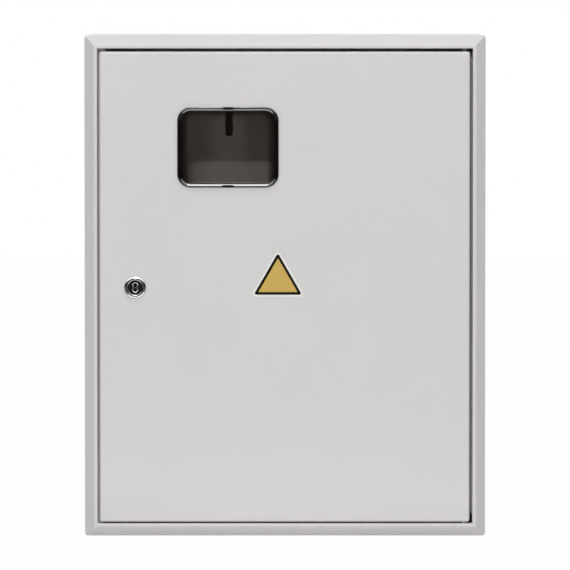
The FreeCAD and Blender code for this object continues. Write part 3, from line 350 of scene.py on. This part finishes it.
# %% Assign the finishes
finishes = {
    grey_coat: ["body_shell", "door_panel", "breaker_cover"],
    warm_coat: ["meter_plate"],
    smoked_window: ["window_pane"],
    chrome: ["lock_body"],
    nickel: ["key_guide"],
    black_casting: ["lock_plug"],
    galvanised: ["frame_bracket_left", "frame_bracket_right", "din_rail"],
    zinc_thread: ["panel_studs", "earth_stud", "door_earth_stud"],
    zinc: ["hinge_pin_upper", "hinge_pin_lower", "panel_nuts", "earth_nut", "door_earth_nut", "lock_nut",
           "lock_cam", "cam_washer", "cam_screw", "rail_screws", "cover_screws", "neutral_bar_screws",
           "earth_bar_screws"],
    brass: ["neutral_bar", "earth_bar"],
    blue_polyamide: ["neutral_bar_supports"],
    green_polyamide: ["earth_bar_supports"],
}
for finish, names in finishes.items():
    for name in names:
        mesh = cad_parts[name].data
        mesh.materials.clear()
        mesh.materials.append(finish)
print("finished", sum(len(names) for names in finishes.values()), "nodes")

# %% [markdown]
# ## The sticker on the door
# A die-cut vinyl triangle sits in the middle of the door: a yellow field, a black border and a pale
# margin. A three-sided circle has its corners rounded with a vertex bevel and is extruded to the
# film's thickness. Two insets of its front part the margin, the border and the field, and each takes
# its own film.

# %% Helpers for modelling by operators


def deselect_all():
    bpy.ops.object.select_all(action="DESELECT")


def pick_faces(piece, wanted):
    """Selects, in edit mode, the faces for which wanted(face) is true."""
    bpy.ops.object.mode_set(mode="OBJECT")
    for part in (*piece.data.vertices, *piece.data.edges):
        part.select = False
    for face in piece.data.polygons:
        face.select = bool(wanted(face))
    bpy.ops.object.mode_set(mode="EDIT")
    bpy.ops.mesh.select_mode(type="FACE")


def settle(piece, name):
    """Names a piece and moves its place into its mesh, as a CAD node has it."""
    bpy.ops.object.mode_set(mode="OBJECT")
    bpy.ops.object.transform_apply(location=True, rotation=True, scale=True)
    piece.name = name
    piece.data.name = name
    return piece


# %% Vinyl films
FADE_GAIN, FADE_LIFT = 1.12, 0.002


def vinyl_film(name, code):
    """Printed film, slightly bleached in patches."""
    material, tree, shader, place = start_finish(name, IOR=1.54, Specular_IOR_Level=0.3)
    fade = add_node(tree, "ShaderNodeTexNoise", {"Vector": place, "Scale": repeats(9), "Detail": 3.0})
    paler = [c * FADE_GAIN + FADE_LIFT for c in colour(code)[:3]]
    tint = add_node(tree, "ShaderNodeMix", {"Factor": fade.outputs["Fac"], "A": colour(code),
                                            "B": (*paler, 1.0)}, data_type="RGBA")
    tree.links.new(tint.outputs["Result"], shader.inputs["Base Color"])
    gloss = add_node(tree, "ShaderNodeMapRange", {"Value": fade.outputs["Fac"], "To Min": 0.30,
                                                  "To Max": 0.42})
    tree.links.new(gloss.outputs["Result"], shader.inputs["Roughness"])
    return material


films = [vinyl_film("vinyl_film_pale_margin", "#dcdcd6"),
         vinyl_film("vinyl_film_black_print", "#0d0a07"),
         vinyl_film("vinyl_film_yellow_print", "#c2a354")]
print("made", [m.name for m in films])

# %% Triangular sticker
STICKER_SIDE = 55.2 * MM
STICKER_CORNER = 4.0 * MM
STICKER_MARGIN = 2.0 * MM
STICKER_BORDER = 2.6 * MM
STICKER_FILM = 0.25 * MM
STICKER_X, STICKER_Z = -7.1 * MM, 5.6 * MM


def door_sticker():
    deselect_all()
    door_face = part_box("door_panel")[0].y
    bpy.ops.mesh.primitive_circle_add(vertices=3, radius=STICKER_SIDE / math.sqrt(3), fill_type="NGON",
                                      location=(STICKER_X, door_face, STICKER_Z),
                                      rotation=(math.radians(90), 0, 0))
    sticker = bpy.context.object
    bpy.ops.object.mode_set(mode="EDIT")
    bpy.ops.mesh.select_all(action="SELECT")
    bpy.ops.mesh.bevel(offset=STICKER_CORNER * math.sqrt(3), segments=8, affect="VERTICES",
                       offset_type="OFFSET")
    bpy.ops.mesh.select_all(action="SELECT")
    bpy.ops.mesh.extrude_region_move(TRANSFORM_OT_translate={"value": (0, -STICKER_FILM, 0)})
    for film in films:
        sticker.data.materials.append(film)
    for film, depth in ((1, STICKER_MARGIN), (2, STICKER_BORDER)):
        pick_faces(sticker, lambda face: face.normal.z > 0.9 and len(face.vertices) > 4)
        bpy.ops.mesh.inset(thickness=depth, depth=0)
        sticker.active_material_index = film
        bpy.ops.object.material_slot_assign()
    return settle(sticker, "door_sticker")


sticker = door_sticker()
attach(sticker, "door")
print("sticker faces:", len(sticker.data.polygons))

# %% [markdown]
# ## Screws
# The rail and the terminal bars are held by pan-head screws with a cross recess, and the breaker cover
# by knurled screws that fingers or a coin can turn. CAD has them as plain heads. Each kind is modelled
# once, at its first place: a cylinder along the depth, its front edge bevelled, its shank pulled out of
# the seat, and its recess cut by a boolean with a tapered blade. Copies then go to the other places.

# %% Blades, heads and copies
TURN_TO_FRONT = (math.radians(90), 0, 0)
BLADE_TAPER = (0.6, 1.0, 0.7)
SMOOTH_BELOW = math.radians(35)


def blade(place, span, width, depth, turn):
    """A driver's blade, narrower towards its tip, that starts in front of a head and cuts into it."""
    deselect_all()
    bpy.ops.mesh.primitive_cube_add(size=1, location=place, rotation=TURN_TO_FRONT)
    cutter = bpy.context.object
    bpy.ops.transform.resize(value=(span, 2 * depth, width))
    bpy.ops.object.transform_apply(location=False, rotation=True, scale=True)
    bpy.ops.object.mode_set(mode="EDIT")
    pick_faces(cutter, lambda face: face.normal.y > 0.9)
    bpy.ops.transform.resize(value=BLADE_TAPER, center_override=place)
    bpy.ops.object.mode_set(mode="OBJECT")
    cutter.rotation_euler = (0, turn, 0)
    return cutter


def cut_away(piece, cutter):
    """Cuts a cutter's shape out of a piece, and removes the cutter."""
    deselect_all()
    piece.select_set(True)
    bpy.context.view_layer.objects.active = piece
    cut = piece.modifiers.new("recess", "BOOLEAN")
    cut.operation = "DIFFERENCE"
    cut.object = cutter
    bpy.ops.object.modifier_apply(modifier=cut.name)
    bpy.data.objects.remove(cutter)


def screw_blank(place, radius, head, rounding, shank_radius, shank, sides):
    """A head whose seat is at place, with a rounded front and a shank behind its seat."""
    deselect_all()
    bpy.ops.mesh.primitive_cylinder_add(vertices=sides, radius=radius, depth=head,
                                        location=(place[0], place[1] - head / 2, place[2]),
                                        rotation=TURN_TO_FRONT)
    blank = bpy.context.object
    pick_faces(blank, lambda face: face.normal.z > 0.9)
    bpy.ops.mesh.bevel(offset=rounding, segments=4, affect="EDGES", clamp_overlap=True)
    pick_faces(blank, lambda face: face.normal.z < -0.9)
    bpy.ops.mesh.inset(thickness=radius - shank_radius, depth=0)
    bpy.ops.mesh.extrude_region_move(TRANSFORM_OT_translate={"value": (0, shank, 0)})
    bpy.ops.object.mode_set(mode="OBJECT")
    return blank


def copy_to(piece, places):
    """Copies a finished piece from its first place to the others and joins them in one mesh."""
    first = Vector(places[0])
    copies = [piece]
    for place in places[1:]:
        deselect_all()
        piece.select_set(True)
        bpy.context.view_layer.objects.active = piece
        bpy.ops.object.duplicate()
        bpy.ops.transform.translate(value=Vector(place) - first)
        copies.append(bpy.context.object)
    deselect_all()
    for copy in copies:
        copy.select_set(True)
    bpy.context.view_layer.objects.active = piece
    bpy.ops.object.join()
    bpy.ops.object.shade_smooth_by_angle(angle=SMOOTH_BELOW)
    return piece


def stand_for(piece, node, finish, body):
    """Gives a piece its finish and lets it take a CAD node's place on its body."""
    settle(piece, node + "_detailed")
    piece.data.materials.append(finish)
    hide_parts(node)
    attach(piece, body)
    print(piece.name, "has", len(piece.data.polygons), "faces")


# %% Pan-head screws of the rail and the bars
PAN_RADIUS, PAN_HEAD, PAN_SHANK_RADIUS = 3.75 * MM, 2.6 * MM, 2.0 * MM
PAN_ROUNDING, PAN_SIDES = 1.1 * MM, 40
CROSS_SPAN, CROSS_WIDTH, CROSS_DEPTH = 4.2 * MM, 1.0 * MM, 1.7 * MM
TERMINALS, TERMINAL_PITCH = 7, 11 * MM


def pan_screws(node, columns):
    low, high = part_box(node)
    seat = low.y + PAN_HEAD
    middle = (low.z + high.z) / 2
    places = [(x, seat, middle) for x in columns(low.x + PAN_RADIUS, high.x - PAN_RADIUS)]
    screw = screw_blank(places[0], PAN_RADIUS, PAN_HEAD, PAN_ROUNDING, PAN_SHANK_RADIUS, high.y - seat,
                        PAN_SIDES)
    front = (places[0][0], low.y, middle)
    for turn in (0, math.radians(90)):
        cut_away(screw, blade(front, CROSS_SPAN, CROSS_WIDTH, CROSS_DEPTH, turn))
    stand_for(copy_to(screw, places), node, zinc, "cabinet")


def ends(first, last):
    return [first, last]


def ends_and_terminals(first, last):
    middle = (first + last) / 2
    steps = [step - (TERMINALS - 1) / 2 for step in range(TERMINALS)]
    return [first, *(middle + step * TERMINAL_PITCH for step in steps), last]


pan_screws("rail_screws", ends)
pan_screws("neutral_bar_screws", ends_and_terminals)
pan_screws("earth_bar_screws", ends_and_terminals)

# %% Knurled screws of the breaker cover
KNURL_RADIUS, KNURL_HEAD, KNURL_SHANK_RADIUS = 5.5 * MM, 5.0 * MM, 2.0 * MM
KNURL_ROUNDING, KNURL_TEETH = 0.6 * MM, 24
KNURL_RISE, KNURL_FLANK = 0.35 * MM, 0.12 * MM
COIN_SPAN, COIN_WIDTH, COIN_DEPTH, COIN_TURN = 12 * MM, 1.3 * MM, 1.4 * MM, math.radians(30)


def knurled_screws(node):
    low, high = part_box(node)
    seat = low.y + KNURL_HEAD
    places = [(x, seat, z) for x in (low.x + KNURL_RADIUS, high.x - KNURL_RADIUS)
              for z in (low.z + KNURL_RADIUS, high.z - KNURL_RADIUS)]
    screw = screw_blank(places[0], KNURL_RADIUS - KNURL_RISE, KNURL_HEAD, KNURL_ROUNDING,
                        KNURL_SHANK_RADIUS, high.y - seat, 2 * KNURL_TEETH)
    front = (places[0][0], low.y, places[0][2])
    tooth = math.pi / KNURL_TEETH

    def on_every_other_side(face):
        step = math.floor(math.atan2(face.normal.y, face.normal.x) / tooth)
        return abs(face.normal.z) < 0.01 and face.center.z > -KNURL_HEAD / 2 and step % 2

    pick_faces(screw, on_every_other_side)
    bpy.ops.mesh.inset(thickness=KNURL_FLANK, depth=KNURL_RISE, use_individual=True)
    bpy.ops.object.mode_set(mode="OBJECT")
    cut_away(screw, blade(front, COIN_SPAN, COIN_WIDTH, COIN_DEPTH, COIN_TURN))
    stand_for(copy_to(screw, places), node, zinc, "cabinet")


knurled_screws("cover_screws")

# %% [markdown]
# ## Floor, light and camera
# The photograph is a catalogue cut-out on white. The floor is white paper, which the camera sees as
# plain white with a trace of shadow, and it throws light up at the bottom bevel. A white card lies on
# it in front of the box and shows only in mirrors: the window's upper rim gets its grey band from it,
# and the lock's ring its lower glint.

# %% Floor and reflector card
FLOOR_SIZE = 12.0
FLOOR_Z = cad_box[0].z
PLAIN_WHITE, BOUNCE, FLOOR_IN_MIRRORS = 0.97, 0.2, 0.12
CARD_PLACE = (-0.06, -0.42, FLOOR_Z + 1 * MM)
CARD_WIDTH, CARD_DEPTH, CARD_STRENGTH = 0.72, 0.32, 1.8


def stage_plane(name, place, width, depth, material):
    """A level plane with its material, for the studio."""
    deselect_all()
    bpy.ops.mesh.primitive_plane_add(size=1.0, location=place)
    bpy.ops.transform.resize(value=(width, depth, 1.0))
    plane = settle(bpy.context.object, name)
    plane.data.materials.append(material)
    return plane


def floor_finish():
    """White paper: lit where light lands on it, plain white to the camera and dim in mirrors."""
    material, tree, shader, _ = start_finish("studio_paper_white", Base_Color=colour("#f4f4f4"),
                                             Roughness=0.9)
    rays = add_node(tree, "ShaderNodeLightPath").outputs
    direct = add_node(tree, "ShaderNodeMath", {0: rays["Is Camera Ray"], 1: rays["Is Transmission Ray"]},
                      operation="MAXIMUM").outputs[0]
    shows = add_node(tree, "ShaderNodeMath", {0: direct, 1: rays["Is Glossy Ray"]},
                     operation="MAXIMUM").outputs[0]
    share = add_node(tree, "ShaderNodeMix", {"Factor": shows, "A": BOUNCE, "B": PLAIN_WHITE}).outputs[0]
    strength = add_node(tree, "ShaderNodeMix", {"Factor": rays["Is Glossy Ray"], "A": 1.0,
                                                "B": FLOOR_IN_MIRRORS}).outputs[0]
    white = add_node(tree, "ShaderNodeEmission", {"Strength": strength}).outputs["Emission"]
    blend = add_node(tree, "ShaderNodeMixShader", {0: share, 1: shader.outputs["BSDF"], 2: white})
    tree.links.new(blend.outputs["Shader"], tree.nodes["Material Output"].inputs["Surface"])
    return material


def card_finish():
    return start_finish("reflector_card_white", Base_Color=colour("#000000"),
                        Emission_Color=colour("#ffffff"), Emission_Strength=CARD_STRENGTH)[0]


stage_plane("studio_floor", (0, 0, FLOOR_Z), FLOOR_SIZE, FLOOR_SIZE, floor_finish())
card = stage_plane("reflector_card", CARD_PLACE, CARD_WIDTH, CARD_DEPTH, card_finish())
card.visible_camera = card.visible_diffuse = card.visible_shadow = card.visible_transmission = False
print("floor at z", round(FLOOR_Z, 4))

# %% [markdown]
# A strip softbox stands in front, well above the camera and a little to the left. It reaches into the
# upright gaps beside the door and leaves the level ones dark, and its shadow behind the window ends
# at the meter plate's fold. Two small softboxes, low at the left and right, light the plate above
# that fold. One more hangs nearly overhead and whitens the top bevel and the door's top fold, and one
# stands behind the box for views from there. The world fills the shadows. It is white to the camera,
# and mirrors show a bright ceiling, a white wall behind the box and a dim studio elsewhere, as with
# black flags.

# %% World and softboxes
ROOM_FILL, STUDIO_DIM, CEILING, WALL = 0.25, 0.018, 1.7, 1.0
CEILING_START, CEILING_FULL, WALL_FULL = 0.3, 0.7, 0.3
DOOR_MIDDLE, BACK_MIDDLE = (0, -0.165, 0), (0, 0, 0)


def studio_world():
    """A white world to the camera, a weaker fill light, and the room that mirrors show."""
    world = bpy.data.worlds.new("studio_world")
    bpy.context.scene.world = world
    world.use_nodes = True
    tree = world.node_tree
    rays = add_node(tree, "ShaderNodeLightPath").outputs
    way = add_node(tree, "ShaderNodeTexCoord").outputs["Generated"]
    way = add_node(tree, "ShaderNodeSeparateXYZ", {"Vector": way}).outputs
    height = add_node(tree, "ShaderNodeMath", {0: way["Z"]}, operation="ABSOLUTE").outputs[0]
    above = add_node(tree, "ShaderNodeMapRange", {"Value": height, "From Min": CEILING_START,
                                                  "From Max": CEILING_FULL, "To Min": STUDIO_DIM,
                                                  "To Max": CEILING}).outputs[0]
    behind = add_node(tree, "ShaderNodeMapRange", {"Value": way["Y"], "From Max": WALL_FULL,
                                                   "To Min": STUDIO_DIM, "To Max": WALL}).outputs[0]
    mirrored = add_node(tree, "ShaderNodeMath", {0: above, 1: behind}, operation="MAXIMUM").outputs[0]
    room = add_node(tree, "ShaderNodeMix", {"Factor": rays["Is Glossy Ray"], "A": ROOM_FILL,
                                            "B": mirrored}).outputs[0]
    shows = add_node(tree, "ShaderNodeMath", {0: rays["Is Camera Ray"], 1: rays["Is Transmission Ray"]},
                     operation="MAXIMUM").outputs[0]
    strength = add_node(tree, "ShaderNodeMix", {"Factor": shows, "A": room, "B": 1.0}).outputs[0]
    tree.links.new(strength, tree.nodes["Background"].inputs["Strength"])
    tree.nodes["Background"].inputs["Color"].default_value = colour("#ffffff")


def softbox(name, place, aim, width, height, power, mirrored=True):
    """A rectangular lamp that the camera doesn't see, and mirrors only if mirrored is true."""
    lamp = bpy.data.lights.new(name, "AREA")
    lamp.shape = "RECTANGLE"
    lamp.size, lamp.size_y = width, height
    lamp.energy = power
    holder = bpy.data.objects.new(name, lamp)
    bpy.context.scene.collection.objects.link(holder)
    holder.location = place
    holder.rotation_euler = (Vector(aim) - Vector(place)).to_track_quat("-Z", "Y").to_euler()
    holder.visible_camera = False
    holder.visible_glossy = mirrored


studio_world()
softbox("softbox_front", (-0.3, -5.0, 2.36), DOOR_MIDDLE, width=0.5, height=0.18, power=78.5)
for side, x in (("left", -1.1), ("right", 1.1)):
    softbox("softbox_" + side, (x, -5.0, 0.45), DOOR_MIDDLE, width=0.5, height=0.3, power=20,
            mirrored=False)
softbox("softbox_overhead", (0.0, -1.05, 2.5), DOOR_MIDDLE, width=1.5, height=1.05, power=22)
softbox("softbox_back", (0.0, 5.0, 2.4), BACK_MIDDLE, width=2.4, height=0.5, power=60, mirrored=False)

# %% [markdown]
# The camera stands far off, so that the sides of the box hardly show, and a little above its middle. The
# lens follows from the distance and the width that the picture covers there.

# %% Camera
CAMERA_DISTANCE, CAMERA_HEIGHT, FAR_CLIP = 6.0, 0.30, 50
CAMERA_TARGET = Vector((0, -0.165, 0.0014))
FRAME_WIDTH = 0.5675


def photo_camera():
    lens = bpy.data.cameras.new("photo_camera")
    lens.lens = lens.sensor_width * CAMERA_DISTANCE / FRAME_WIDTH
    lens.clip_end = FAR_CLIP
    camera = bpy.data.objects.new("photo_camera", lens)
    bpy.context.scene.collection.objects.link(camera)
    camera.location = CAMERA_TARGET + Vector((0, -CAMERA_DISTANCE, CAMERA_HEIGHT))
    camera.rotation_euler = (CAMERA_TARGET - camera.location).to_track_quat("-Z", "Y").to_euler()
    bpy.context.scene.camera = camera
    return camera


camera = photo_camera()
bpy.context.scene.view_settings.view_transform = "Standard"
print("lens", round(camera.data.lens), "mm")
